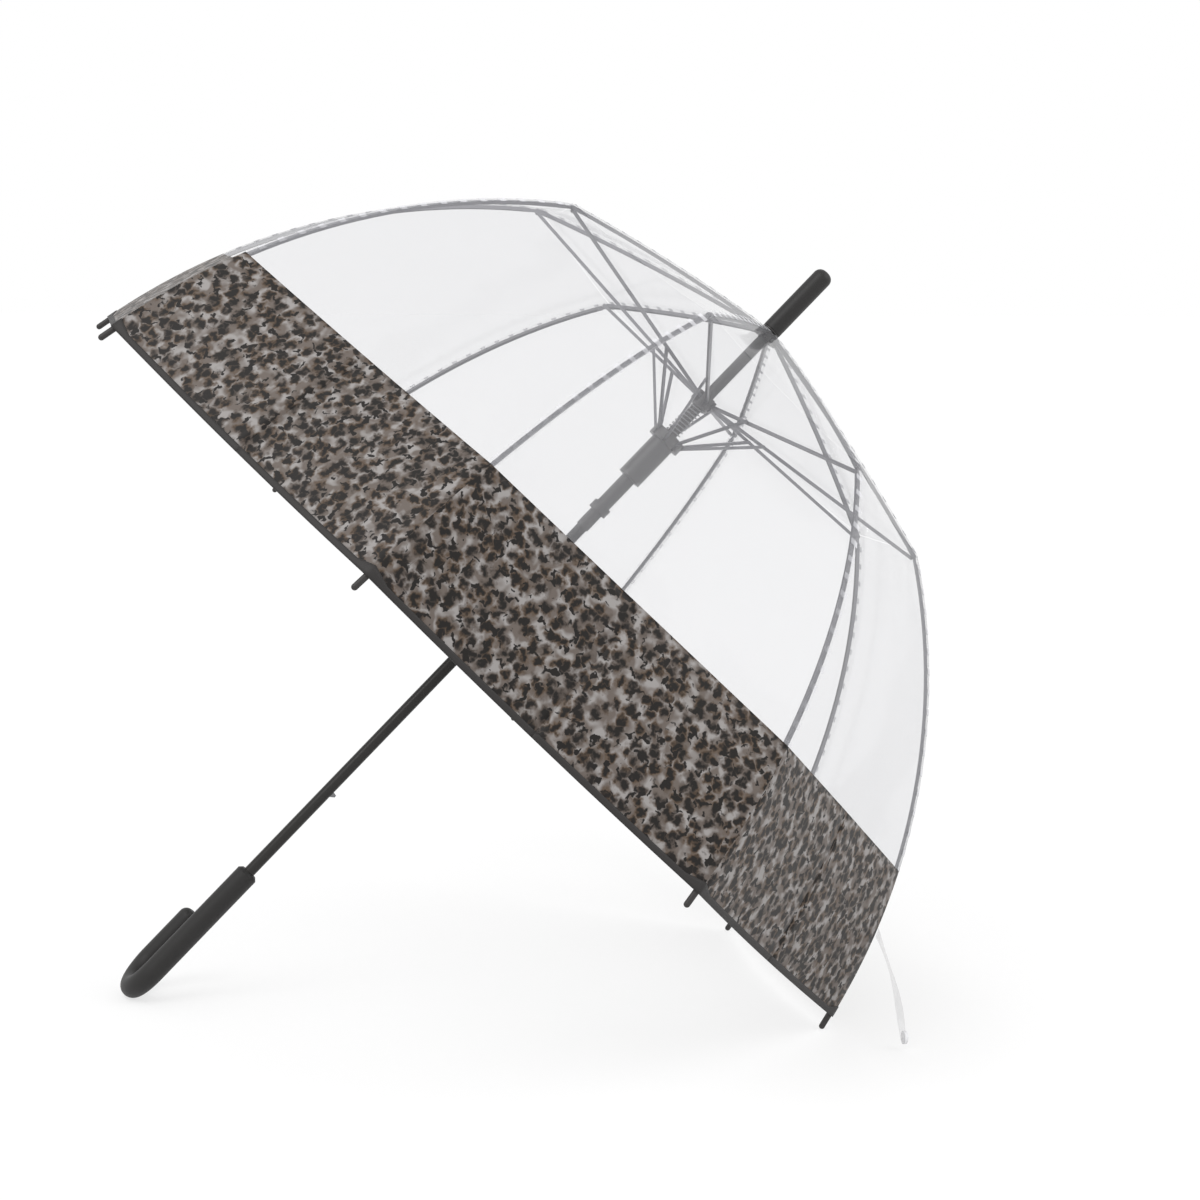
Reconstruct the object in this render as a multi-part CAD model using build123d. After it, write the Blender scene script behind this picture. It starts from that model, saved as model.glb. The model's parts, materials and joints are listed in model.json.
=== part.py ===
from build123d import *
from math import acos, asin, atan, atan2, cos, degrees, dist, hypot, pi, sin, tan
import os

# Clear dome umbrella with eight ribs, lying open on a floor: it rests on the bend of its crook
# handle and on two neighbouring rib tips.  All lengths are millimetres.
#
# It is worked out in the umbrella's own axes first: Z runs up the shaft to the ferrule with zero at
# the rib pivots, X points to the side that will face the floor.  At the end everything is tilted
# onto the floor, +Z up, with the origin under the middle of the whole.

# --- driving sizes: canopy and ribs ---
rib_count = 8
rim_radius = 435.0          # shaft axis to a rib, at the hem
rim_drop = 381.0            # rib pivots down to the hem
clip_radius = 224.0         # shaft axis to the clip where the stretcher meets the rib
clip_drop = 56.0
upper_rib_bow = 3.0         # how far the sprung rib bows out of its chord
lower_rib_bow = 36.0
rib_width = 3.2             # fluted steel channel
rib_depth = 3.0
rib_wall = 0.6
rib_tongue = 12.0           # solid end that carries the eye
rib_plug = 6.0              # solid end under the tip cap
border_height = 128.0       # printed border, measured along the rib's chord
film = 0.6                  # canopy film, with its welded hems
film_lift = 0.9             # film over the ribs' outer face, to clear their joints
section_points = 9          # along each stretch of the canopy's section
rim_radius_closed = 40.0    # hem to shaft axis when the umbrella is closed
clip_radius_closed = 18.0

# --- driving sizes: shaft, hubs, ferrule, handle ---
shaft_radius = 5.0
shaft_wall = 0.8
notch_radius = 12.0         # toothed disc that holds the rib roots
notch_height = 6.9
notch_pivot_radius = 9.0
runner_drop = 79.6          # rib pivots down to the stretcher pivots, open
runner_radius = 10.5
runner_height = 10.0
runner_pivot_radius = 8.0
runner_neck = 3.0           # short collar under the runner that seats the spring
neck_wall = 2.0
sleeve_drop = 125.8         # rib pivots down to the strut pivots, open
sleeve_radius = 15.5
sleeve_height = 10.0
sleeve_pivot_radius = 13.0
sleeve_body_radius = 11.0
sleeve_body_length = 42.0
sleeve_tail_radius = 6.6
sleeve_tail_length = 58.0
sleeve_collar_radius = 8.6
sleeve_collar_height = 8.0
sleeve_foot_radius = 6.0    # thinner end of the tail, below the collar
sleeve_foot_length = 18.0
window_rise = 13.0          # the catch's window, above the end of the sleeve
strut_reach = 58.0          # runner pivot to the strut's joint, along the stretcher
washer_radius = 8.4
washer_thickness = 1.5
washer_round = 0.6
ferrule_length = 69.0
ferrule_radius = 8.6
ferrule_round = 6.8
ferrule_socket = 14.0       # how far the shaft goes into the ferrule
handle_drop = 640.0         # rib pivots down to the handle's top
handle_radius = 9.8
handle_leg = 116.0          # straight part above the crook
crook_radius = 26.0
crook_return = 52.0         # straight part after the crook
handle_socket = 58.0
handle_chamfer = 2.6
handle_end_round = 6.9

# --- driving sizes: links, pins, springs, tips, strap ---
stretcher_width = 2.6
stretcher_depth = 2.6
strut_width = 2.0
strut_depth = 2.4
clip_hang = 2.5             # the stretcher's joint hangs this far inside the rib's
link_end = 3.0              # unfluted end of a stretcher or strut
eye_swell = 0.2             # an eye stands this far out of its link
cheek = 0.8
cheek_depth = 3.4
cheek_length = 9.0
eye_radius = 1.9
head_radius = 1.3           # rivet heads
boss_radius = 1.1
pin_radius = 0.8
wire_radius = 0.6
tip_radius = 2.5
tip_length = 17.0
tip_spigot_radius = 1.2
tip_spigot_length = 9.0
spring_wire = 0.5
spring_coils = 9.0
spring_radius = 6.6
catch_width = 3.0
catch_strip = 1.0           # thickness of the spring strip
catch_strip_length = 42.0
catch_strip_gap = 0.9       # strip to the inside of the shaft
catch_nose_height = 7.0
catch_nose_top = 1.0        # the nose slopes this much at its top
catch_nose_flat = 2.0
catch_window = 9.0          # height of the window in the sleeve
catch_nose = 3.2            # how far the nose stands out of the shaft
catch_travel = 3.0
strap_place = 75.0          # up the border from the hem, along the rib
strap_reach = 80.0          # how far it stands out, level
strap_width = 12.0
strap_thickness = 0.8
snap_radius = 5.4
snap_height = 3.0
snap_round = 0.8

# --- clearances ---
running = 0.1               # pin in its eye, radially
wire_running = 0.2          # rib roots on the notch's wire, radially
seat = 0.1                  # fixed piece on the shaft, radially
sliding = 0.3               # runner and sleeve on the shaft, radially
beside = 0.4                # two links that swing past each other
soft = 0.3                  # film to whatever it lies on
panel_gap = 0.15            # each panel stops this far from the middle of its gore
clip_gap = 0.4              # and this far from the clip
window_side = 0.7           # catch in the sleeve's window, each side
slot_side = 0.3             # catch in the shaft's slot, each side
slot_end = 0.5
eye_room = 7.0              # a rib's channel begins this far from its eye
clip_room = 4.0             # and ends this far short of the clip

# --- modelling ---
weld = 0.1                  # pieces of one solid run into each other by this
pin_bury = 0.5              # and the hubs' pins by this
through = 1.0               # cutters pass through their work by this
cutter_reach = 40.0         # hub slots, from the pivots outwards
cutter_height = 60.0

# --- worked-out geometry of one rib station, in its plane: (radius, height) ---
half_step = pi / rib_count
inner_width = rib_width - 2 * rib_wall
station_angles = [degrees((2 * n + 1) * half_step) for n in range(rib_count)]

pivot = (notch_pivot_radius, 0.0)
clip = (clip_radius, -clip_drop)
rim = (rim_radius, -rim_drop)


def arc_of(start, end, bow):
    """Centre, radius, start angle and sweep of the arc between two points, bowed outwards."""
    chord = dist(start, end)
    half = 2 * atan(2 * bow / chord)
    radius = chord / 2 / sin(half)
    ux, uz = (end[0] - start[0]) / chord, (end[1] - start[1]) / chord
    back = radius * cos(half)
    centre = ((start[0] + end[0]) / 2 + uz * back, (start[1] + end[1]) / 2 - ux * back)
    first = atan2(start[1] - centre[1], start[0] - centre[0])
    return centre, radius, first, 2 * half


upper_arc = arc_of(pivot, clip, upper_rib_bow)
lower_arc = arc_of(clip, rim, lower_rib_bow)


def on_arc(arc, turned, out=0.0):
    """The point a given angle along an arc, moved outwards."""
    centre, radius, first, _ = arc
    angle = first - turned
    return centre[0] + (radius + out) * cos(angle), centre[1] + (radius + out) * sin(angle)


def chord_angle(start, end):
    return atan2(end[1] - start[1], end[0] - start[0])


def offset_point(point, away, angle):
    return point[0] + away * cos(angle), point[1] + away * sin(angle)


clip_tangent = lower_arc[2] - pi / 2
lug = offset_point(clip, clip_hang, clip_tangent - pi / 2)
runner_pivot = (runner_pivot_radius, -runner_drop)
stretcher_length = dist(runner_pivot, lug)
strut_joint = offset_point(runner_pivot, strut_reach, chord_angle(runner_pivot, lug))
sleeve_pivot = (sleeve_pivot_radius, -sleeve_drop)
strut_length = dist(sleeve_pivot, strut_joint)

# closed positions: every link keeps its length while the clip and the hem come in to the shaft
upper_chord = dist(pivot, clip)
lower_chord = dist(clip, rim)
upper_closed = -acos((clip_radius_closed - notch_pivot_radius) / upper_chord)
lower_closed = -acos((rim_radius_closed - clip_radius_closed) / lower_chord)
upper_turn = chord_angle(pivot, clip) - upper_closed
lower_turn = chord_angle(clip, rim) - lower_closed
clip_closed = offset_point(pivot, upper_chord, upper_closed)
lug_closed = offset_point(clip_closed, clip_hang, clip_tangent - pi / 2 - upper_turn)
stretcher_closed = acos((lug_closed[0] - runner_pivot_radius) / stretcher_length)
runner_closed = lug_closed[1] - stretcher_length * sin(stretcher_closed)
joint_closed = offset_point((runner_pivot_radius, runner_closed), strut_reach, stretcher_closed)
strut_closed = acos((joint_closed[0] - sleeve_pivot_radius) / strut_length)
sleeve_closed = joint_closed[1] - strut_length * sin(strut_closed)
stretcher_turn = stretcher_closed - chord_angle(runner_pivot, lug)
strut_turn = strut_closed - chord_angle(sleeve_pivot, strut_joint)
runner_travel = -runner_drop - runner_closed
sleeve_travel = -sleeve_drop - sleeve_closed

lower_length = lower_arc[1] * lower_arc[3]
upper_length = upper_arc[1] * upper_arc[3]
border_start = lower_length - border_height
rim_heading = lower_arc[2] - lower_arc[3] - pi / 2
tip_end = offset_point(rim, tip_length - tip_radius, rim_heading)

# heights of what lies on the crown, and of the catch, which holds the closed sleeve
film_rise = rib_depth / 2 + soft + film_lift
washer_low = film_rise + film + soft
ferrule_base = washer_low + washer_thickness
sleeve_end = -sleeve_drop - sleeve_height / 2 - sleeve_body_length - sleeve_tail_length
catch_height = sleeve_end - sleeve_travel + window_rise

eye_bore = pin_radius + running
guide_bore = shaft_radius + sliding

# sideways places of the links: the stretcher runs beside its rib, the strut between the two
stretcher_offset = inner_width / 2 + beside / 2 + cheek + 2 * beside + stretcher_width / 2
strut_offset = stretcher_offset - stretcher_width / 2 - beside - strut_width / 2


# --- placing ---
def ring_of(shape):
    """One copy of a station's shape for each rib."""
    return [Rot(0, 0, angle) * shape for angle in station_angles]


def in_plane(point, across=0.0):
    """A point of the station's plane as a place in space."""
    return (point[0], across, point[1])


def tube(outer, inner, low, high):
    length = high - low
    wall = Cylinder(outer, length) - Cylinder(inner, length + 2 * through)
    return Pos(0, 0, (low + high) / 2) * wall


def disc(radius, low, high):
    return Pos(0, 0, (low + high) / 2) * Cylinder(radius, high - low)


def cross_pin(point, radius, low, high):
    """A round pin across the station's plane, from one sideways place to another."""
    place = Pos(*in_plane(point, (low + high) / 2)) * Rot(90, 0, 0)
    return place * Cylinder(radius, high - low)


# --- ribs ---
def swept_bar(arc, start, stop, width, low, high):
    """A bar of rectangular section bent along an arc, between two places along it."""
    centre, radius, first, _ = arc
    profile = Rectangle(high - low, width, align=(Align.MIN, Align.CENTER))
    at_zero = Plane(origin=(radius + low, 0, 0), x_dir=(1, 0, 0), z_dir=(0, 0, -1))
    bar = revolve(at_zero * profile, Axis.Y, degrees((stop - start) / radius))
    turn = degrees(-first + start / radius)
    return Pos(centre[0], 0, centre[1]) * Rot(0, turn, 0) * bar


def channel(arc, start, stop):
    """Fluted rib: a channel open to the inside of the dome."""
    half = rib_depth / 2
    bar = swept_bar(arc, start, stop, rib_width, -half, half)
    low = -half - through
    return bar - swept_bar(arc, start - through, stop + through, inner_width, low, half - rib_wall)


def tongue(arc, start, stop):
    half = rib_depth / 2
    return swept_bar(arc, start, stop, inner_width, -half, half - rib_wall + weld)



def rib_upper():
    solid = channel(upper_arc, eye_room, upper_length - clip_room) + tongue(upper_arc, 0, rib_tongue)
    solid += cross_pin(pivot, eye_radius, -inner_width / 2, inner_width / 2)
    solid -= cross_pin(pivot, wire_radius + wire_running, -rib_width, rib_width)
    inside = inner_width / 2 + beside / 2
    for side in (-1, 1):
        low, high = sorted((side * inside, side * (inside + cheek)))
        start = upper_length - cheek_length
        plate = swept_bar(upper_arc, start, upper_length, cheek, -cheek_depth / 2, cheek_depth / 2)
        solid += Pos(0, (low + high) / 2, 0) * plate
        solid += cross_pin(clip, cheek_depth / 2, low, high)
        head = sorted((side * (inside + cheek), side * (inside + cheek + beside)))
        solid += cross_pin(clip, head_radius, *head)
    # the lug on one cheek, where the stretcher's end hangs
    solid += cross_pin(lug, eye_radius, inside, inside + cheek)
    solid += cross_pin(lug, boss_radius, inside + cheek, inside + cheek + beside)
    return solid + cross_pin(clip, pin_radius, -inside - cheek, inside + cheek)


def rib_lower():
    """The rod and, as a separate solid, the cap on its end."""
    rod = channel(lower_arc, eye_room, lower_length) + tongue(lower_arc, 0, rib_tongue)
    rod += cross_pin(clip, eye_radius, -inner_width / 2, inner_width / 2)
    rod -= cross_pin(clip, eye_bore, -rib_width, rib_width)
    half = rib_depth / 2
    rod += swept_bar(lower_arc, lower_length - rib_plug, lower_length, inner_width, -half, half)
    along = Pos(*in_plane(rim)) * Rot(0, 90 - degrees(rim_heading), 0)
    rod += along * disc(tip_spigot_radius, 0, tip_spigot_length)
    cap = disc(tip_radius, soft, tip_length - tip_radius)
    cap += Pos(0, 0, tip_length - tip_radius) * Sphere(tip_radius)
    cap -= disc(tip_spigot_radius + seat, -through, tip_spigot_length + seat)
    return [rod, along * cap]


# --- stretchers and struts ---
def link(start, end, across, width, depth, bores):
    """A straight channel between two pivots, with an eye at each end."""
    length = dist(start, end)
    fluted = length - 2 * link_end
    inside = width - 2 * rib_wall
    flute = Box(fluted, inside, depth, align=(Align.CENTER, Align.CENTER, Align.MAX))
    bar = Box(length, width, depth)
    bar -= Pos(0, 0, depth / 2 - rib_wall) * flute
    middle = ((start[0] + end[0]) / 2, (start[1] + end[1]) / 2)
    turned = Rot(0, -degrees(chord_angle(start, end)), 0)
    solid = Pos(*in_plane(middle, across)) * turned * bar
    for point, bore in zip((start, end), bores):
        solid += cross_pin(point, depth / 2 + eye_swell, across - width / 2, across + width / 2)
        if bore:
            solid -= cross_pin(point, eye_bore, across - width, across + width)
    return solid


def stretcher():
    solid = link(runner_pivot, lug, stretcher_offset, stretcher_width, stretcher_depth, (True, False))
    # rivet boss that the strut's end lies against
    face = stretcher_offset - stretcher_width / 2
    return solid + cross_pin(strut_joint, boss_radius, face - beside / 2, face)


def strut():
    return link(sleeve_pivot, strut_joint, strut_offset, strut_width, strut_depth, (True, False))


# --- hubs ---
def toothed(hub, pivot_point, across, width, depth_inside, root_pins=True):
    """Slots a hub for its links and, where asked, leaves a pin across each slot."""
    gap = width + 2 * soft
    inner = pivot_point[0] - depth_inside
    slot = Box(cutter_reach, gap, cutter_height, align=(Align.MIN, Align.CENTER, Align.CENTER))
    for tooth in ring_of(Pos(inner, across, pivot_point[1]) * slot):
        hub -= tooth
    if root_pins:
        half = gap / 2 + pin_bury
        pin = cross_pin(pivot_point, pin_radius, across - half, across + half)
        for piece in ring_of(pin):
            hub += piece
    return hub


def crown_notch():
    hub = tube(notch_radius, shaft_radius + seat, eye_radius - notch_height, eye_radius)
    hub = toothed(hub, pivot, 0, inner_width, eye_radius + soft, root_pins=False)
    return hub - Torus(notch_pivot_radius, wire_radius + seat)


def notch_wire():
    return Torus(notch_pivot_radius, wire_radius)


def runner():
    low = -runner_drop - runner_height / 2
    hub = tube(runner_radius, guide_bore, low, low + runner_height)
    hub = toothed(hub, runner_pivot, stretcher_offset, stretcher_width, eye_radius + soft)
    return hub + tube(spring_radius + neck_wall, guide_bore, low - runner_neck, low)


def spring_sleeve():
    top = -sleeve_drop + sleeve_height / 2
    bottom = -sleeve_drop - sleeve_height / 2
    hub = tube(sleeve_radius, guide_bore, bottom, top)
    hub = toothed(hub, sleeve_pivot, strut_offset, strut_width, eye_radius + soft)
    body_end = bottom - sleeve_body_length
    hub += tube(sleeve_body_radius, guide_bore, body_end, bottom)
    collar_low = sleeve_end + sleeve_foot_length
    hub += tube(sleeve_tail_radius, guide_bore, collar_low, body_end)
    hub += tube(sleeve_collar_radius, guide_bore, collar_low, collar_low + sleeve_collar_height)
    hub += tube(sleeve_foot_radius, guide_bore, sleeve_end, collar_low)
    width = catch_width + 2 * window_side
    window = Box(cutter_reach, width, catch_window, align=(Align.MIN, Align.CENTER, Align.CENTER))
    return hub - Pos(0, 0, catch_height + sleeve_travel) * window


def opening_spring():
    """Coil between the runner's neck and the sleeve, round the shaft."""
    low = -sleeve_drop + sleeve_height / 2 + spring_wire + soft
    high = -runner_drop - runner_height / 2 - runner_neck - spring_wire - soft
    path = Helix((high - low) / spring_coils, high - low, spring_radius, center=(0, 0, low))
    section = Plane(origin=path @ 0, z_dir=path % 0) * Circle(spring_wire)
    return sweep(section, path=path, is_frenet=True)


# --- catch ---
def spring_catch():
    """Bent steel strip inside the shaft, whose nose stands out of a slot."""
    inside = shaft_radius - shaft_wall - catch_strip_gap - catch_strip / 2
    half = catch_nose_height / 2
    align = (Align.CENTER, Align.CENTER, Align.MAX)
    strip = Box(catch_strip, catch_width, catch_strip_length, align=align)
    strip = Pos(inside, 0, catch_height + half) * strip
    out = shaft_radius + catch_nose
    shoulder = catch_height + half - catch_nose_top
    with BuildPart() as nose:
        with BuildSketch(Plane.XZ):
            with BuildLine():
                Polyline(
                    (inside, catch_height + half), (out, shoulder),
                    (out, shoulder - catch_nose_flat), (inside, catch_height - half), close=True,
                )
            make_face()
        extrude(amount=catch_width / 2, both=True)
    return strip + nose.part


# --- shaft, ferrule, washer, handle ---
def shaft():
    low = -handle_drop - handle_socket
    rod = tube(shaft_radius, shaft_radius - shaft_wall, low, ferrule_base + ferrule_socket)
    width = catch_width + 2 * slot_side
    height = catch_nose_height + 2 * slot_end
    slot = Box(cutter_reach, width, height, align=(Align.MIN, Align.CENTER, Align.CENTER))
    return rod - Pos(0, 0, catch_height) * slot


def top_washer():
    plate = tube(washer_radius, shaft_radius + seat, washer_low, ferrule_base)
    widest = plate.edges().filter_by(GeomType.CIRCLE).sort_by(SortBy.RADIUS)[-2:]
    return fillet(widest.sort_by(Axis.Z)[-1], washer_round)


def ferrule():
    top = ferrule_base + ferrule_length
    solid = disc(ferrule_radius, ferrule_base, top)
    solid = fillet(solid.edges().filter_by(GeomType.CIRCLE).sort_by(Axis.Z)[-1], ferrule_round)
    socket_top = ferrule_base + ferrule_socket + seat
    return solid - disc(shaft_radius + seat, ferrule_base - through, socket_top)


def handle():
    """Crook of round section, its bend turned to one side (+Y)."""
    top = -handle_drop
    bend_height = top - handle_leg
    far = 2 * crook_radius
    line = Line((0, 0, top), (0, 0, bend_height))
    line += ThreePointArc(
        (0, 0, bend_height), (0, crook_radius, bend_height - crook_radius), (0, far, bend_height)
    )
    line += Line((0, far, bend_height), (0, far, bend_height + crook_return))
    crook = sweep(Plane.XY.offset(top) * Circle(handle_radius), path=line)
    crook = chamfer(crook.edges().filter_by(GeomType.CIRCLE).sort_by(Axis.Z)[-1], handle_chamfer)
    return_end = crook.edges().filter_by(GeomType.CIRCLE).sort_by_distance(line @ 1)[0]
    crook = fillet(return_end, handle_end_round)
    bore = disc(shaft_radius + seat, top - handle_socket - seat, top + through)
    return crook - bore


# --- canopy ---
def profile_points(arc, start, stop, out):
    """Points of the canopy's section half-way between two ribs, from the rib's own arc."""
    points = []
    for n in range(section_points):
        along = start + (stop - start) * n / (section_points - 1)
        x, z = on_arc(arc, along / arc[1], out)
        points.append((x * cos(half_step), z))
    return points


def film_panel(arc, start, stop):
    """The film from half-way to one neighbouring rib to half-way to the other."""
    inner = profile_points(arc, start, stop, film_rise)
    outer = profile_points(arc, start, stop, film_rise + film)
    outline = Spline(*inner) + Line(inner[-1], outer[-1])
    outline += Spline(*reversed(outer)) + Line(outer[0], inner[0])
    reach = rim_radius + clip_radius
    slab = extrude(Plane.XZ * make_face(outline), reach * tan(half_step), both=True)
    wedge_outline = Polyline(
        (0, -panel_gap), (reach, -panel_gap), (reach, -reach * tan(half_step)), (0, 0), close=True
    )
    wedge = extrude(make_face(wedge_outline), 2 * (rim_drop + rim_radius), both=True)
    half = Rot(0, 0, degrees(half_step)) * (slab & wedge)
    return half + mirror(half, Plane.XZ)


def canopy_upper():
    return film_panel(upper_arc, 0, upper_length - clip_gap)


def canopy_lower():
    """Clear film and, below it, the printed border."""
    return [
        film_panel(lower_arc, clip_gap, border_start),
        film_panel(lower_arc, border_start, lower_length),
    ]


# --- laying the umbrella down ---
tip_side = tip_end[0] * cos(half_step)
handle_depth = handle_drop + handle_leg + crook_radius
tip_above_handle = handle_depth + tip_end[1]
tip_reach = hypot(tip_side, tip_above_handle)
lean = atan2(tip_side, tip_above_handle) - asin((handle_radius - tip_radius) / tip_reach)
crown_height = handle_depth * sin(lean) + handle_radius
lay = Pos(0, 0, crown_height) * Rot(0, 90 - degrees(lean), 0)


def strap_plane():
    """Where the strap is welded to the film, and how it stands out from there: X along the strap."""
    place = (lower_length - strap_place) / lower_arc[1]
    on_rib = lay * Rot(0, 0, station_angles[-1])
    x, z = on_arc(lower_arc, place, film_rise + film + soft + strap_thickness / 2)
    head = (on_rib * Pos(*in_plane((x, z)))).position
    x, z = on_arc(lower_arc, place, film_rise)
    outwards = head - (on_rib * Pos(*in_plane((x, z)))).position
    along = Vector(0, -strap_reach, strap_width / 2 + soft - head.Z)
    across = outwards.cross(along)
    return Plane(origin=head, x_dir=along, z_dir=along.cross(across)), along.length


def tie_strap():
    """Strip of film that stands out stiffly from a rib and comes down to the floor."""
    plane, length = strap_plane()
    strip = Box(length, strap_width, strap_thickness, align=(Align.MIN, Align.CENTER, Align.CENTER))
    return plane * strip


def strap_snap():
    plane, length = strap_plane()
    button = Cylinder(snap_radius, snap_height, align=(Align.CENTER, Align.CENTER, Align.MIN))
    rim_edge = button.edges().filter_by(GeomType.CIRCLE).sort_by(Axis.Z)[-1]
    place = Pos(length - snap_radius - soft, 0, strap_thickness / 2)
    return plane * place * fillet(rim_edge, snap_round)


# --- all the nodes ---
nodes = {
    "shaft": shaft(),
    "ferrule": ferrule(),
    "top_washer": top_washer(),
    "crown_notch": crown_notch(),
    "notch_wire": notch_wire(),
    "runner": runner(),
    "spring_sleeve": spring_sleeve(),
    "opening_spring": opening_spring(),
    "spring_catch": spring_catch(),
    "handle": handle(),
}
stations = {
    "rib_upper": [rib_upper()],
    "rib_lower": rib_lower(),
    "stretcher": [stretcher()],
    "strut": [strut()],
    "canopy_upper": [canopy_upper()],
    "canopy_lower": canopy_lower(),
}
for name, pieces in stations.items():
    for number, angle in enumerate(station_angles, start=1):
        turned = [Rot(0, 0, angle) * piece for piece in pieces]
        nodes[f"{name}_{number}"] = turned[0] if len(turned) == 1 else Compound(turned)

laid = {name: lay * shape for name, shape in nodes.items()}
laid["tie_strap"] = tie_strap()
laid["strap_snap"] = strap_snap()

box = Compound(list(laid.values())).bounding_box()
centring = Pos(-(box.min.X + box.max.X) / 2, -(box.min.Y + box.max.Y) / 2, -box.min.Z)

os.makedirs("parts", exist_ok=True)
for name, shape in laid.items():
    export_step(centring * shape, f"parts/{name}.step")
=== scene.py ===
import bpy
import json
import math
from mathutils import Matrix, Vector, noise


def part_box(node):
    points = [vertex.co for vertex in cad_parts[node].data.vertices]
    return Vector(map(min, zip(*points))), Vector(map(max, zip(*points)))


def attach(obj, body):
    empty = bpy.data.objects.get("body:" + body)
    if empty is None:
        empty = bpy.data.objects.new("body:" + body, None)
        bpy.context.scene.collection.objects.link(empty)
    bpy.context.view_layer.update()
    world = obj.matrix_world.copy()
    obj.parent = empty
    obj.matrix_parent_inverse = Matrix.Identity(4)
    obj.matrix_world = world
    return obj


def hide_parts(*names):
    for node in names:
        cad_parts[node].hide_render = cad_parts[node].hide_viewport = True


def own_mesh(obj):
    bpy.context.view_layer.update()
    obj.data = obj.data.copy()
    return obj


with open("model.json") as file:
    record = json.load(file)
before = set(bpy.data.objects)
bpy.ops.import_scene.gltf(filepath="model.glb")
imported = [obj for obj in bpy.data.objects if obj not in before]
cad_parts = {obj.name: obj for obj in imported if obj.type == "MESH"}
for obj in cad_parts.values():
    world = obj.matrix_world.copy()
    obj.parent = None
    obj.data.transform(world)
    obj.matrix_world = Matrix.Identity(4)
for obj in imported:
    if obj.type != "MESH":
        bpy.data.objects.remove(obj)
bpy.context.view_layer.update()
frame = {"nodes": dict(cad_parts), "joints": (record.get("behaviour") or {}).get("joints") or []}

# ---------------------------------------------------------------------------------------------
# Room: a pale floor that runs into a white wall of light, one large soft lamp over the left
# shoulder and a weaker one from the right, and the camera at the height of the crown.
# ---------------------------------------------------------------------------------------------


def linear(hex_colour, alpha=1.0):
    """An sRGB hex colour as linear RGBA."""
    channels = [int(hex_colour[i:i + 2], 16) / 255 for i in (1, 3, 5)]
    curve = [c / 12.92 if c <= 0.04045 else ((c + 0.055) / 1.055) ** 2.4 for c in channels]
    return (*curve, alpha)


def add_node(owner, kind, inputs=None, **settings):
    """A shader node with its settings; each input is a value, or a socket to link from."""
    node = owner.node_tree.nodes.new("ShaderNode" + kind)
    for name, value in settings.items():
        setattr(node, name, value)
    for name, value in (inputs or {}).items():
        socket = node.inputs[name]
        if isinstance(value, bpy.types.NodeSocket):
            owner.node_tree.links.new(value, socket)
        else:
            socket.default_value = value
    return node


def empty_material(name):
    """A material whose node tree holds only its output."""
    material = bpy.data.materials.new(name)
    material.use_nodes = True
    material.node_tree.nodes.clear()
    return material


def show(owner, shader, socket="Surface"):
    """Links a finished shader to the material's or world's output."""
    kind = "OutputWorld" if isinstance(owner, bpy.types.World) else "OutputMaterial"
    add_node(owner, kind, {socket: shader})


scene = bpy.context.scene
scene.view_settings.view_transform = "Standard"

world = bpy.data.worlds.new("white_room")
world.use_nodes = True
world.node_tree.nodes.clear()


def looked_at(owner):
    """1 for what is seen, straight or reflected or through glass, and 0 for what gives light."""
    ray = add_node(owner, "LightPath")
    straight, reflected, through = (
        ray.outputs[f"Is {kind} Ray"] for kind in ("Camera", "Glossy", "Transmission"))
    direct = add_node(owner, "Math", {0: straight, 1: reflected}, operation="MAXIMUM")
    seen = add_node(owner, "Math", {0: direct.outputs[0], 1: through}, operation="MAXIMUM")
    return seen.outputs[0]


ambient = 0.90
strength = add_node(world, "Mix", {"Factor": looked_at(world), "A": ambient, "B": 1.0})
glow = add_node(world, "Background", {"Color": linear("#ffffff"), "Strength": strength.outputs[0]})
show(world, glow.outputs[0])
scene.world = world

floor_side = 60
bpy.ops.mesh.primitive_plane_add(size=floor_side, location=(0, 0, 0))
floor = bpy.context.object
floor.name = "floor"

# Matt white paper.  The eye sees it pure white but for the object's faint shadow, and it lifts a
# little further out, so that no horizon shows.
paper = empty_material("white_paper_sweep")
plain = add_node(paper, "BsdfDiffuse", {"Color": linear("#e6e6e6")})
shaded = add_node(paper, "BsdfDiffuse", {"Color": linear("#9a9a9a")})
spread = add_node(paper, "TexCoord")
away = add_node(paper, "VectorMath", {0: spread.outputs["Object"]}, operation="LENGTH")
fade = add_node(paper, "MapRange", {
    "Value": away.outputs["Value"], "From Min": 0.8, "From Max": 2.4,
    "To Min": 0.69, "To Max": 0.715}, interpolation_type="SMOOTHSTEP")
lift = add_node(paper, "Emission", {"Color": linear("#ffffff"), "Strength": fade.outputs[0]})
lifted = add_node(paper, "AddShader", {0: shaded.outputs[0], 1: lift.outputs[0]})
mixed = add_node(paper, "MixShader", {
    0: looked_at(paper), 1: plain.outputs[0], 2: lifted.outputs[0]})
show(paper, mixed.outputs[0])
floor.data.materials.append(paper)


def soft_lamp(name, place, aim, size, watts):
    """A square area lamp that faces a point."""
    data = bpy.data.lights.new(name, "AREA")
    data.size = size
    data.energy = watts
    lamp = bpy.data.objects.new(name, data)
    scene.collection.objects.link(lamp)
    lamp.location = place
    lamp.rotation_euler = (Vector(aim) - Vector(place)).to_track_quat("-Z", "Y").to_euler()


soft_lamp("lamp_left", (-1.6, -1.4, 2.6), (0, 0, 0.3), 1.8, 26)
soft_lamp("lamp_right", (2.2, -1.2, 1.8), (0, 0, 0.3), 1.6, 12)

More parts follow.
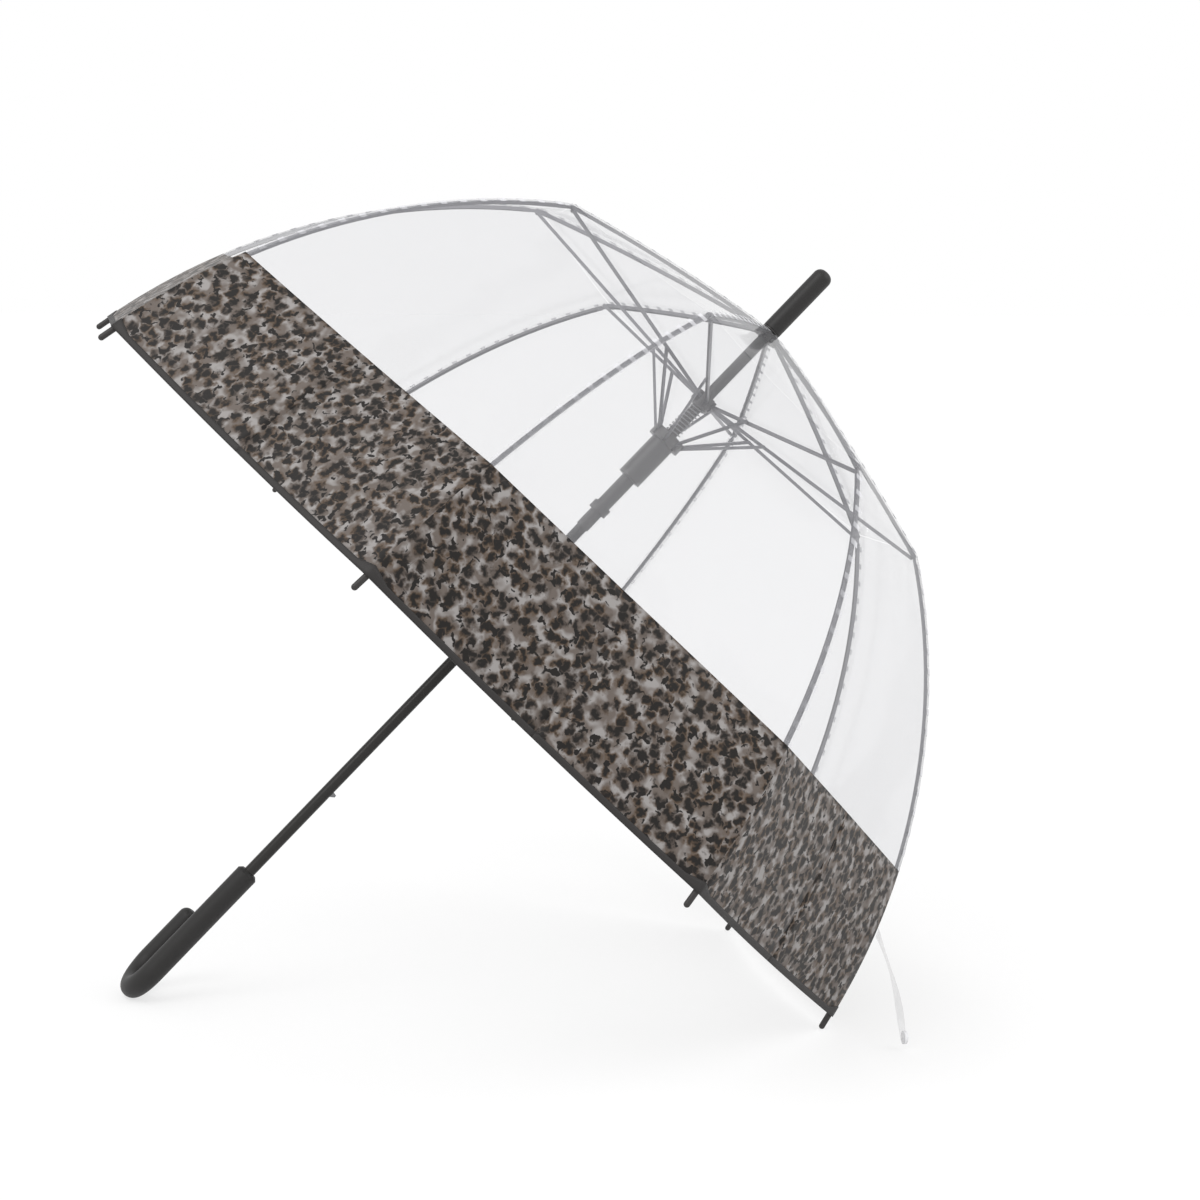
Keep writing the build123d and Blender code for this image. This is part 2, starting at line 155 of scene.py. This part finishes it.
camera_data = bpy.data.cameras.new("camera")
camera_data.lens = 80.74
camera = bpy.data.objects.new("camera", camera_data)
scene.collection.objects.link(camera)
camera.location = (-0.3507, -2.2620, 0.6279)
heading, tilt, roll = math.radians(-10.795), math.radians(90 - 7.133), math.radians(0.394)
turned = (Matrix.Rotation(heading, 3, "Z") @ Matrix.Rotation(tilt, 3, "X")
          @ Matrix.Rotation(roll, 3, "Z"))
camera.rotation_euler = turned.to_euler()
scene.camera = camera

# ---------------------------------------------------------------------------------------------
# Shaft, springs and catch: a steel tube in black nickel, and the bare spring steel that works on
# it.  The opening spring lies round the tube, and the catch is a bent strip pushed up inside it.
# ---------------------------------------------------------------------------------------------


def grained(material, colour, roughness, metallic=0.0, grain_size=0.0015, depth=0.00004):
    """A Principled surface with a fine grain, which breaks up its highlights."""
    spot = add_node(material, "TexCoord")
    fine = add_node(material, "TexNoise", {
        "Vector": spot.outputs["Object"], "Scale": 1 / grain_size, "Detail": 3.0})
    bump = add_node(material, "Bump", {
        "Height": fine.outputs[0], "Distance": depth, "Strength": 0.6})
    rough = add_node(material, "MapRange", {"Value": fine.outputs[0], "To Min": roughness - 0.06,
                                            "To Max": roughness + 0.06})
    return add_node(material, "BsdfPrincipled", {
        "Base Color": linear(colour), "Roughness": rough.outputs[0], "Metallic": metallic,
        "Normal": bump.outputs[0]})


def plain_finish(name, colour, roughness, metallic=0.0):
    """A material of one colour and one fine grain."""
    material = empty_material(name)
    show(material, grained(material, colour, roughness, metallic).outputs[0])
    return material


def coat(starts, material):
    """Gives a finish to the CAD nodes whose names start so."""
    for name, node in frame["nodes"].items():
        if name.startswith(starts):
            node.data.materials.clear()
            node.data.materials.append(material)


# Black nickel plate on tube: a dark mirror that the grain makes satin.
coat("shaft", plain_finish("black_nickel_tube", "#363534", 0.34, 0.8))
# Bare drawn or pressed steel: pale grey metal with sharp lights.
coat(("opening_spring", "notch_wire"), plain_finish("drawn_spring_steel", "#8a8a8c", 0.3, 1.0))
coat("spring_catch", plain_finish("pressed_spring_steel", "#7c7c7e", 0.3, 1.0))

# ---------------------------------------------------------------------------------------------
# Handle and ferrule: a crook bent from rod and dipped in a soft black coating, and a moulded
# ferrule.  Both are pushed on to the ends of the shaft and glued.
# ---------------------------------------------------------------------------------------------

# Soft coating: near black and almost matt, with no clear highlight.
coat("handle", plain_finish("soft_black_coating", "#171514", 0.55))
# Moulded plastic with a fine spark-eroded grain: near black, with a little more light on it.
coat("ferrule", plain_finish("moulded_black_ferrule", "#151312", 0.5))

# ---------------------------------------------------------------------------------------------
# Hubs: crown notch, top washer, runner and spring sleeve, all moulded in black nylon.  Notch and
# washer are fixed on the shaft, and the runner and the sleeve slide on it.
# ---------------------------------------------------------------------------------------------

# Moulded nylon: dark, with a broad soft shine.
hubs = ("crown_notch", "top_washer", "runner", "spring_sleeve")
coat(hubs, plain_finish("moulded_black_nylon", "#2c2a29", 0.34))

# ---------------------------------------------------------------------------------------------
# Ribs, stretchers and struts: fluted steel strip in grey enamel.  Each rib is in two lengths
# with the clip between them, and ends in a moulded black tip cap.
# ---------------------------------------------------------------------------------------------
rib_count = 8
clip_radius, clip_drop = 0.224, 0.056       # from the shaft's axis, and below the rib roots
rim_radius, rim_drop = 0.435, 0.381
pivot_radius = 0.009
cap_gap = 0.0002            # the cap starts this far past the end of the rib

joints = {joint["name"]: joint for joint in frame["joints"]}
up_shaft = -Vector(joints["runner_slide"]["axis"])
rib_roots = [Vector(joints[f"rib_root_{n}"]["pos_m"]) for n in range(1, rib_count + 1)]
crown = sum(rib_roots, Vector()) / rib_count

# Enamel on steel: mid grey, half way to a metal's reflections.
enamel_grey, enamel_roughness, enamel_metal = "#66666a", 0.34, 0.7
coat(("rib_upper", "stretcher", "strut"),
     plain_finish("grey_enamelled_steel", enamel_grey, enamel_roughness, enamel_metal))

# The same enamel down to the end of the rib, and the cap's dull black nylon beyond it.
capped_rib = empty_material("enamelled_rib_with_tip_cap")
steel = grained(capped_rib, enamel_grey, enamel_roughness, enamel_metal)
nylon = grained(capped_rib, "#2b2827", 0.5)
lies = add_node(capped_rib, "TexCoord")
from_crown = add_node(capped_rib, "VectorMath", {0: lies.outputs["Object"], 1: crown},
                      operation="SUBTRACT")
height = add_node(capped_rib, "VectorMath", {0: from_crown.outputs[0], 1: up_shaft},
                  operation="DOT_PRODUCT")
beyond = add_node(capped_rib, "Math", {0: height.outputs["Value"], 1: -rim_drop - cap_gap},
                  operation="LESS_THAN")
either = add_node(capped_rib, "MixShader", {
    0: beyond.outputs[0], 1: steel.outputs[0], 2: nylon.outputs[0]})
show(capped_rib, either.outputs[0])
coat("rib_lower", capped_rib)

# ---------------------------------------------------------------------------------------------
# Canopy film: eight gores of soft PVC sheet, drawn tight over the ribs.  Each piece here is the
# film on both sides of one rib, out to the middle of the gores, so that it can fold with its rib:
# an upper stretch from the crown to the clip, and a lower one from the clip to the border.
# ---------------------------------------------------------------------------------------------
half_step = math.pi / rib_count
film_rise = 0.003           # middle of the film over the rib's centre line
upper_bow, lower_bow = 0.003, 0.036         # how far each length of rib bows out of its chord
border_height = 0.1205      # printed border, along the rib
border_skew = 0.008         # more of it at rib 8, and as much less at rib 4
# How far each gore sags at its middle, as a share of its radius, from the gore of ribs 8 and 1 on.
gore_sag = (0.018, 0.020, 0.022, 0.018, 0.012, 0.020, 0.022, 0.004)
hem_foot = 0.003            # the hem hangs this far past the ends of the ribs
hem_belly = 0.002           # and this much more between them
clip_easing = 0.045         # the film rounds the bend at the clip over this length
clip_dip = 0.0022           # and cuts its corner by this
ripple = 0.0012
ripples_long, ripples_short = 17, 41    # to the metre, about
gore_pitch = 0.5            # from one gore's print to the next, in the flat

stations = []
for root in rib_roots:
    outward = (root - crown).normalized()
    across = up_shaft.cross(outward)
    facing = Matrix((outward, across, up_shaft)).transposed().to_4x4()
    stations.append(Matrix.Translation(crown) @ facing)


def arc_of(start, end, bow):
    """Centre, radius, first angle and sweep of the arc between two points, bowed outwards."""
    (x0, z0), (x1, z1) = start, end
    chord = math.dist(start, end)
    half = 2 * math.atan(2 * bow / chord)
    radius = chord / 2 / math.sin(half)
    along_x, along_z = (x1 - x0) / chord, (z1 - z0) / chord
    back = radius * math.cos(half)
    centre = ((x0 + x1) / 2 + along_z * back, (z0 + z1) / 2 - along_x * back)
    return centre, radius, math.atan2(z0 - centre[1], x0 - centre[0]), 2 * half


upper_arc = arc_of((pivot_radius, 0), (clip_radius, -clip_drop), upper_bow)
lower_arc = arc_of((clip_radius, -clip_drop), (rim_radius, -rim_drop), lower_bow)
upper_length = upper_arc[1] * upper_arc[3]
lower_length = lower_arc[1] * lower_arc[3]


def rib_point(arc, along, out=0.0):
    """Radius and height of the place a given length along an arc, moved outwards."""
    centre, radius, first, _ = arc
    angle = first - along / radius
    reach = radius + out
    return centre[0] + reach * math.cos(angle), centre[1] + reach * math.sin(angle)


def film_point(station, arc, along, share, out=0.0):
    """A place on the film: share is -1 to 1, from mid-gore over the rib to mid-gore."""
    side = -1 if share < 0 else 1
    part = abs(share)
    from_clip = along if arc is lower_arc else upper_length - along
    hem_part = max(0.0, 1 - (lower_length - along) / border_height) if arc is lower_arc else 0.0
    bulge = 1 - (1 - part) ** 2
    lower_by = (hem_foot + hem_belly * bulge) * hem_part
    radius, height = rib_point(arc, along + lower_by, film_rise + out)
    middle = radius * math.cos(half_step)
    on_rib = Vector((radius, 0, height))
    mid_gore = Vector((middle * math.cos(half_step), side * middle * math.sin(half_step), height))
    place = on_rib.lerp(mid_gore, part)
    inwards = -Vector((math.cos(half_step), side * math.sin(half_step), 0))
    gore = (stations.index(station) + (side + 1) // 2) % rib_count
    place += inwards * bulge * gore_sag[gore] * radius
    if from_clip < clip_easing:
        dip = clip_dip * (1 - from_clip / clip_easing) ** 2
        place += Vector((inwards.x, inwards.y, -1)) * bulge * dip
    placed = station @ place
    wave = noise.noise(placed * ripples_long) + 0.5 * noise.noise(placed * ripples_short)
    return placed - station.to_3x3() @ inwards * ripple * bulge * wave


def film_piece(name, number, arc, start, stop, across=28, down=24, out=0.0):
    """One stretch of film over one rib, from a grid, with a UV map in metres of film.

    start and stop are lengths along the arc, or functions of the rib and the place across it."""
    bpy.ops.object.select_all(action="DESELECT")
    bpy.ops.mesh.primitive_grid_add(x_subdivisions=across, y_subdivisions=down, size=2)
    piece = bpy.context.object
    piece.name = f"{name}_{number}"
    station = stations[number - 1]
    layer = piece.data.uv_layers.active
    flat = [(vertex.co.x, (1 - vertex.co.y) / 2) for vertex in piece.data.vertices]
    lengths = []
    for share, fall in flat:
        first, last = (edge(number, share) if callable(edge) else edge for edge in (start, stop))
        lengths.append(first + (last - first) * fall)
    for polygon in piece.data.polygons:
        side = 1 if sum(flat[v][0] for v in polygon.vertices) > 0 else -1
        gore = (number - 1 + (side + 1) // 2) % rib_count
        for loop in polygon.loop_indices:
            corner = piece.data.loops[loop].vertex_index
            share, along = flat[corner][0], lengths[corner]
            width = rib_point(arc, along)[0] * math.sin(half_step)
            level = along + (upper_length if arc is lower_arc else 0)
            layer.data[loop].uv = (gore * gore_pitch - side * (1 - abs(share)) * width, -level)
    for vertex, (share, fall), along in zip(piece.data.vertices, flat, lengths):
        vertex.co = film_point(station, arc, along, share, out)
    bpy.ops.object.shade_smooth()
    return piece


def thicken(piece, thickness, offset, inner_slot=0):
    """Gives a sheet its thickness; inner_slot is the material of its inner face."""
    shell = piece.modifiers.new("thickness", "SOLIDIFY")
    shell.thickness = thickness
    shell.offset = offset
    shell.material_offset = inner_slot
    bpy.context.view_layer.objects.active = piece
    bpy.ops.object.modifier_apply(modifier=shell.name)


def fold_with_rib(piece, number, part):
    """Parents a soft piece to its rib's body, so that it rides on the rib, and gives it its own
    mesh.
    """
    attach(piece, f"rib_{part}_{number}")
    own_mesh(piece)


def clear_pvc(name, face_on, edge_on):
    """Plasticised PVC, calendered: clear with a faint milky veil, and glossy, in soft swells.

    face_on and edge_on say how much of it is seen, because a film veils more when seen along."""
    film = empty_material(name)
    facing = add_node(film, "LayerWeight", {"Blend": 0.3})
    body = add_node(film, "MapRange", {
        "Value": facing.outputs["Facing"], "From Min": 0.2, "From Max": 1.0,
        "To Min": face_on, "To Max": edge_on})
    lies = add_node(film, "TexCoord")
    cloud = 1 / 9
    cloudy = add_node(film, "TexNoise", {
        "Vector": lies.outputs["Object"], "Scale": 1 / cloud, "Detail": 2.0})
    swell = add_node(film, "Bump", {
        "Height": cloudy.outputs[0], "Distance": 0.004, "Strength": 0.5})
    sheet = add_node(film, "BsdfPrincipled", {
        "Base Color": linear("#d6d6da"), "Roughness": 0.2, "IOR": 1.02, "Alpha": body.outputs[0],
        "Transmission Weight": 0.25, "Coat Weight": 1.0, "Coat Roughness": 0.1, "Coat IOR": 1.5,
        "Coat Normal": swell.outputs[0]})
    show(film, sheet.outputs[0])
    return film


def border_edge(number, share=0.0):
    """Where the clear film ends and the border starts, as a length along the rib."""
    turned = (number + share / 2) * 2 * half_step
    return lower_length - border_height - border_skew * math.cos(turned)


clear_film = clear_pvc("calendered_clear_pvc", 0.26, 0.46)

crown_tuck = 0.0028         # the film runs in under the crown washer
for number in range(1, rib_count + 1):
    upper = film_piece("film_upper", number, upper_arc, -crown_tuck, upper_length)
    upper.data.materials.append(clear_film)
    fold_with_rib(upper, number, "upper")
    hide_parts(f"canopy_upper_{number}")

    lower = film_piece("film_lower", number, lower_arc, 0.0, border_edge, down=40)
    lower.data.materials.append(clear_film)
    fold_with_rib(lower, number, "lower")
    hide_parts(f"canopy_lower_{number}")

# ---------------------------------------------------------------------------------------------
# Printed border: the foot of each gore, the same film screen-printed all over with small animal
# spots, near-black blots ringed with brown on grey.  Its inner face is painted shade: flat near
# black, standing in for the shade that falls inside the canopy.
# ---------------------------------------------------------------------------------------------
border_thickness = 0.0003
spot_cell = 0.0096          # one spot to the next
spot_wobble = 1 / 165       # the spots' outlines bend over this length
stroke_size, tint_size = 1 / 150, 1 / 60
ground_size, ground_wobble = 1 / 95, 1 / 60

# Opaque screen ink on PVC: a soft shine over warm grey, brown and near black that bleed together.
print_film = empty_material("screen_printed_pvc")
uv = add_node(print_film, "UVMap")


def wander(size, push):
    """The print's coordinates, pushed about by noise so that nothing in it is round or straight."""
    grain = add_node(print_film, "TexNoise", {
        "Vector": uv.outputs[0], "Scale": 1 / size, "Detail": 2.0}, noise_dimensions="2D")
    centred = add_node(print_film, "VectorMath", {0: grain.outputs["Color"], 1: (0.5, 0.5, 0.5)},
                       operation="SUBTRACT")
    pushed = add_node(print_film, "VectorMath", {0: centred.outputs[0], "Scale": push},
                      operation="SCALE")
    return add_node(print_film, "VectorMath", {0: uv.outputs[0], 1: pushed.outputs[0]},
                    operation="ADD")


def patches(vector, size, low, high):
    """0 to 1 where a noise runs between two levels."""
    field = add_node(print_film, "TexNoise", {
        "Vector": vector, "Scale": 1 / size, "Detail": 1.0}, noise_dimensions="2D")
    return add_node(print_film, "MapRange", {
        "Value": field.outputs[0], "From Min": low, "From Max": high})


loose = wander(spot_wobble, 0.009)
cells = add_node(print_film, "TexVoronoi", {"Vector": loose.outputs[0], "Scale": 1 / spot_cell},
                 voronoi_dimensions="2D")
blot = add_node(print_film, "MapRange", {"Value": cells.outputs["Distance"], "From Min": 0.40,
                                         "From Max": 0.20})
halo = add_node(print_film, "MapRange", {"Value": cells.outputs["Distance"], "From Min": 0.62,
                                         "From Max": 0.34})
strokes = patches(loose.outputs[0], stroke_size, 0.60, 0.66)
dark = add_node(print_film, "Math", {0: blot.outputs[0], 1: strokes.outputs[0]},
                operation="MAXIMUM")
brown = patches(uv.outputs[0], tint_size, 0.44, 0.56)
tint = add_node(print_film, "Mix", {"Factor": brown.outputs[0], "A": linear("#544b45"),
                                    "B": linear("#58483a")}, data_type="RGBA")
pale = patches(wander(ground_wobble, 0.01).outputs[0], ground_size, 0.40, 0.62)
ground = add_node(print_film, "Mix", {"Factor": pale.outputs[0], "A": linear("#6a615b"),
                                      "B": linear("#9a9694")}, data_type="RGBA")
ringed = add_node(print_film, "Mix", {"Factor": halo.outputs[0], "A": ground.outputs["Result"],
                                      "B": tint.outputs["Result"]}, data_type="RGBA")
inked = add_node(print_film, "Mix", {"Factor": dark.outputs[0], "A": ringed.outputs["Result"],
                                     "B": linear("#1e1b19")}, data_type="RGBA")
printed = add_node(print_film, "BsdfPrincipled", {
    "Base Color": inked.outputs["Result"], "Roughness": 0.45, "IOR": 1.46,
    "Specular IOR Level": 0.25})
show(print_film, printed.outputs[0])

# Painted shade on the border's inner face: flat near black with a little shine, standing in for
# the shade that falls inside the canopy.
painted_inner_shade = empty_material("inner_face_painted_shade")
inside = add_node(painted_inner_shade, "BsdfPrincipled", {"Base Color": linear("#2a2827"), "Roughness": 0.4})
show(painted_inner_shade, inside.outputs[0])

for number in range(1, rib_count + 1):
    border = film_piece("border", number, lower_arc, border_edge, lower_length)
    border.data.materials.append(print_film)
    # the second slot, the inner face, takes the painted shade
    border.data.materials.append(painted_inner_shade)
    thicken(border, border_thickness, -1, inner_slot=1)
    fold_with_rib(border, number, "lower")
    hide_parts(f"canopy_lower_{number}")

# ---------------------------------------------------------------------------------------------
# Hem: black binding tape folded over the border's edge and stitched, widening into a small
# reinforced pocket at each rib tip.  Made like the film that it binds, and as thick as the fold.
# ---------------------------------------------------------------------------------------------
hem_height = 0.0043
pocket_height = 0.009
pocket_share = 0.10
hem_thickness = 0.0014
hem_fold = 0.0006           # the tape's fold stands past the film's edge
weave_pitch = 1 / 1400

# Woven polyester tape: dull black, with a weave that only roughens its light at this distance.
hem_tape = empty_material("black_binding_tape")
lay_of = add_node(hem_tape, "TexCoord")
weave = add_node(hem_tape, "TexNoise", {
    "Vector": lay_of.outputs["Object"], "Scale": 1 / weave_pitch, "Detail": 2.0})
ribbed = add_node(hem_tape, "Bump", {
    "Height": weave.outputs[0], "Distance": 0.00015, "Strength": 0.8})
tape = add_node(hem_tape, "BsdfPrincipled", {"Base Color": linear("#252221"), "Roughness": 0.6,
                                             "Normal": ribbed.outputs[0]})
show(hem_tape, tape.outputs[0])


def hem_top(number, share):
    """Where the tape's upper edge lies, as a length along the rib."""
    nearness = max(0.0, 1 - abs(share) / pocket_share)
    return lower_length - hem_height - (pocket_height - hem_height) * nearness


for number in range(1, rib_count + 1):
    hem = film_piece("hem", number, lower_arc, hem_top, lower_length + hem_fold, across=80, down=3)
    hem.data.materials.append(hem_tape)
    thicken(hem, hem_thickness, 0)
    fold_with_rib(hem, number, "lower")

# ---------------------------------------------------------------------------------------------
# Seams: the strip over each rib where two gores lap.  It is two thicknesses of the film, joined
# by a heated wheel in short dashes, which are clear where they are welded and hazy between.
# ---------------------------------------------------------------------------------------------
seam_width = 0.009
dash_pitch = 0.017
seam_lift = 0.0004          # clear of the film below it
seam_start = 0.004          # clear of the crown washer
widest_share = 0.9          # near the crown, where the gores are narrower than the seam

# Lapped PVC: the weld is nearly clear, and the loose lap between is whitish when seen along.
seam_film = empty_material("welded_lap")
seam_uv = add_node(seam_film, "UVMap")
split = add_node(seam_film, "SeparateXYZ", {0: seam_uv.outputs[0]})
count = add_node(seam_film, "Math", {0: split.outputs["Y"], 1: -1 / dash_pitch},
                 operation="MULTIPLY")
part = add_node(seam_film, "Math", {0: count.outputs[0]}, operation="FRACT")
loose_lap = add_node(seam_film, "MapRange", {
    "Value": part.outputs[0], "From Min": 0.66, "From Max": 0.72})
glint = add_node(seam_film, "LayerWeight", {"Blend": 0.5})
hazy = add_node(seam_film, "MapRange", {
    "Value": glint.outputs["Facing"], "From Min": 0.2, "From Max": 0.6,
    "To Min": 0.20, "To Max": 0.86})
dashed = add_node(seam_film, "Mix", {
    "Factor": loose_lap.outputs[0], "A": 0.10, "B": hazy.outputs[0]})
lap = add_node(seam_film, "BsdfPrincipled", {
    "Base Color": linear("#e4e4e8"), "Roughness": 0.25, "IOR": 1.5, "Alpha": dashed.outputs[0]})
show(seam_film, lap.outputs[0])


def seam_piece(name, number, arc, start, stop, down):
    """A narrow strip on the outside of the film over one rib."""
    bpy.ops.object.select_all(action="DESELECT")
    bpy.ops.mesh.primitive_grid_add(x_subdivisions=4, y_subdivisions=down, size=2)
    strip = bpy.context.object
    strip.name = f"{name}_{number}"
    station = stations[number - 1]
    flat = [(vertex.co.x, (1 - vertex.co.y) / 2) for vertex in strip.data.vertices]
    for loop in strip.data.loops:
        share, fall = flat[loop.vertex_index]
        level = start + (stop - start) * fall
        strip.data.uv_layers.active.data[loop.index].uv = (share * seam_width / 2, -level)
    for vertex, (share, fall) in zip(strip.data.vertices, flat):
        along = start + (stop - start) * fall
        width = rib_point(arc, along)[0] * math.sin(half_step)
        reach = min(widest_share, seam_width / 2 / width)
        vertex.co = film_point(station, arc, along, share * reach, seam_lift)
    bpy.ops.object.shade_smooth()
    strip.data.materials.append(seam_film)
    return strip


for number in range(1, rib_count + 1):
    upper_seam = seam_piece("seam_upper", number, upper_arc, seam_start, upper_length, 40)
    fold_with_rib(upper_seam, number, "upper")
    border_start = border_edge(number)
    lower_seam = seam_piece("seam_lower", number, lower_arc, 0.0, border_start, 60)
    fold_with_rib(lower_seam, number, "lower")

# ---------------------------------------------------------------------------------------------
# Tie strap: a ribbon of the same clear film, welded to one rib's seam near the hem.  It is stiff
# enough to stand out from the canopy as it droops, and ends in a clear moulded press stud.
# ---------------------------------------------------------------------------------------------
strap_width, strap_thickness = 0.012, 0.0004
strap_sway, strap_twist = 0.0035, 0.0012
strap_round = 0.07          # its last part is rounded, as a share of its length
strap_low, strap_high = (Vector(corner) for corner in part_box("tie_strap"))
strap_x = (strap_low.x + strap_high.x) / 2
strap_run = Vector((0, strap_low.y - strap_high.y, strap_low.z - strap_high.z)).normalized()
strap_side = Vector((1, 0, 0)).cross(strap_run)
# The strap's middle line ends half a width inside the corners of its box.
inset = abs(strap_side.y) * strap_width / 2, abs(strap_side.z) * strap_width / 2
strap_head = Vector((strap_x, strap_high.y - inset[0], strap_high.z - inset[1]))
strap_foot = Vector((strap_x, strap_low.y + inset[0], strap_low.z + inset[1]))
bpy.ops.object.select_all(action="DESELECT")
bpy.ops.mesh.primitive_grid_add(x_subdivisions=60, y_subdivisions=6, size=2)
strap = bpy.context.object
strap.name = "strap"
for vertex in strap.data.vertices:
    along, side = (vertex.co.x + 1) / 2, vertex.co.y
    rounding = math.sqrt(max(0.0, 1 - max(0.0, (along - 1 + strap_round) / strap_round) ** 2))
    place = strap_head.lerp(strap_foot, along) + strap_side * side * rounding * strap_width / 2
    place.x += strap_sway * math.sin(math.pi * along)
    place.x += strap_twist * side * math.sin(2 * math.pi * along)
    vertex.co = place
bpy.ops.object.shade_smooth()
strap.data.materials.append(clear_pvc("thin_clear_strap", 0.12, 0.25))
thicken(strap, strap_thickness, 0)
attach(strap, f"rib_lower_{rib_count}")
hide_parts("tie_strap")

# Clear moulded plastic, thick enough to look almost white.
coat("strap_snap", plain_finish("moulded_clear_snap", "#f6f6f8", 0.3))
